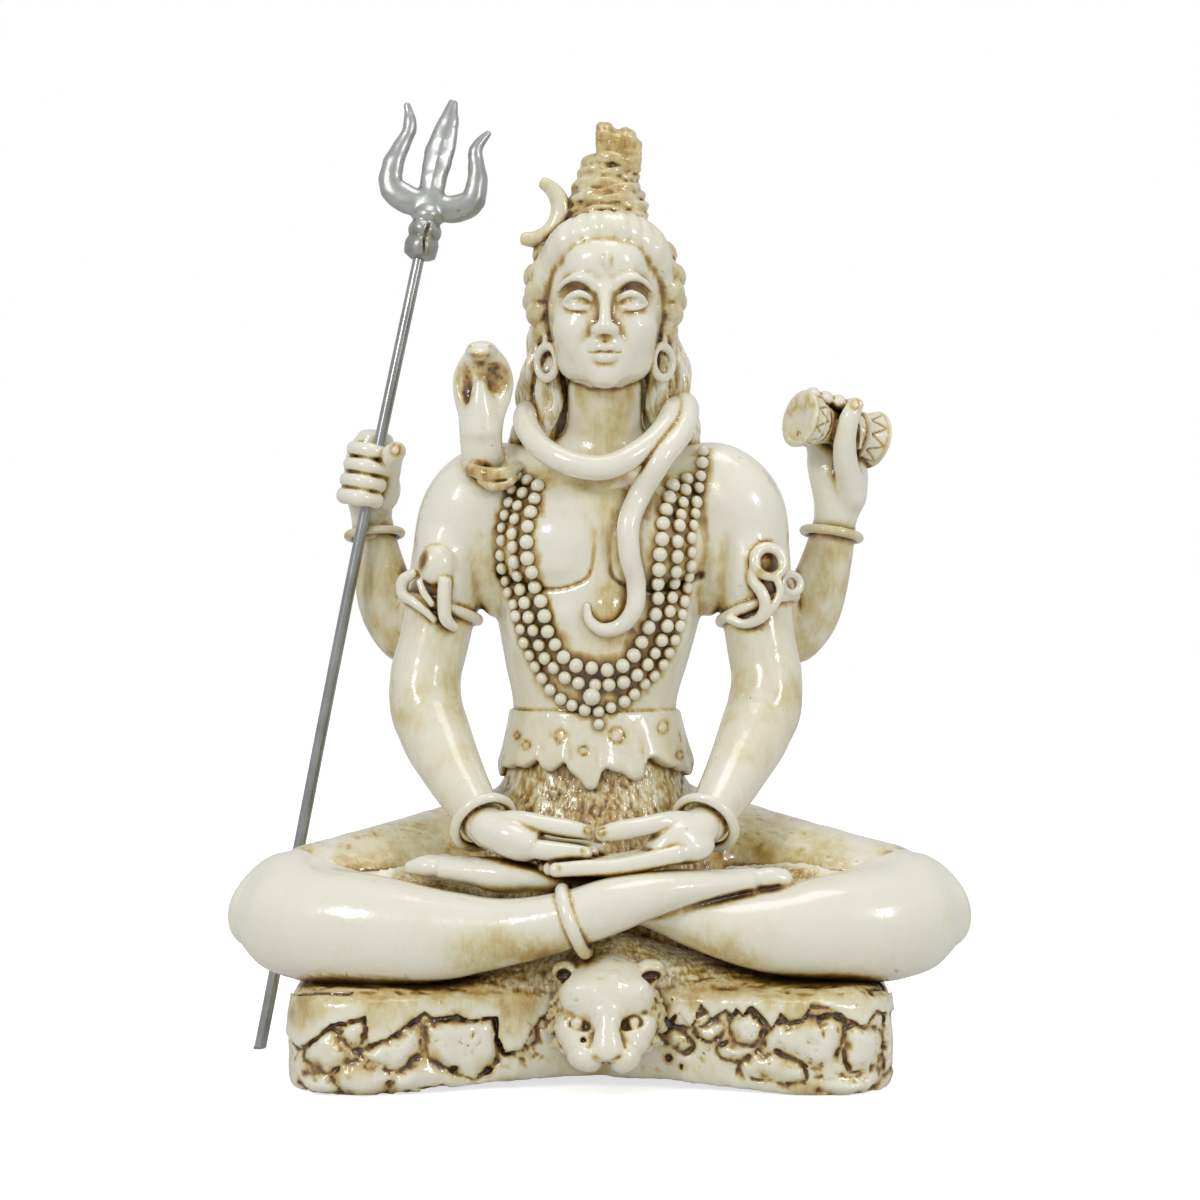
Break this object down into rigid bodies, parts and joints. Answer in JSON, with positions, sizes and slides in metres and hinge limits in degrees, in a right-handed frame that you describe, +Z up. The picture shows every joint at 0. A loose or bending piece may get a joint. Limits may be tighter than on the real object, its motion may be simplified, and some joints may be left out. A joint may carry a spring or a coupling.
{
  "type": "shiva figure",
  "caption": "Seated deity figure with raised back arms on a rocky plinth, with a tiger skin, cobra, hand drum and a tall trident.",
  "frame": {"origin": "on the ground under the middle of the whole model", "axes": "+Z up, the figure faces -Y, its own left side is towards +X"},
  "size_m": [0.3516, 0.203, 0.493],
  "materials": {
    "cast_resin": "glossy cream cast resin, brown antique wash left in the recesses",
    "silver_paint": "silver paint, semi-gloss, with small brown flecks",
    "polished_rod": "drawn aluminium rod, bright and smooth"
  },
  "bodies": {
    "root": {"figure": "cast_resin", "trident_head": "silver_paint", "trident_shaft": "polished_rod"}
  },
  "joints": []
}
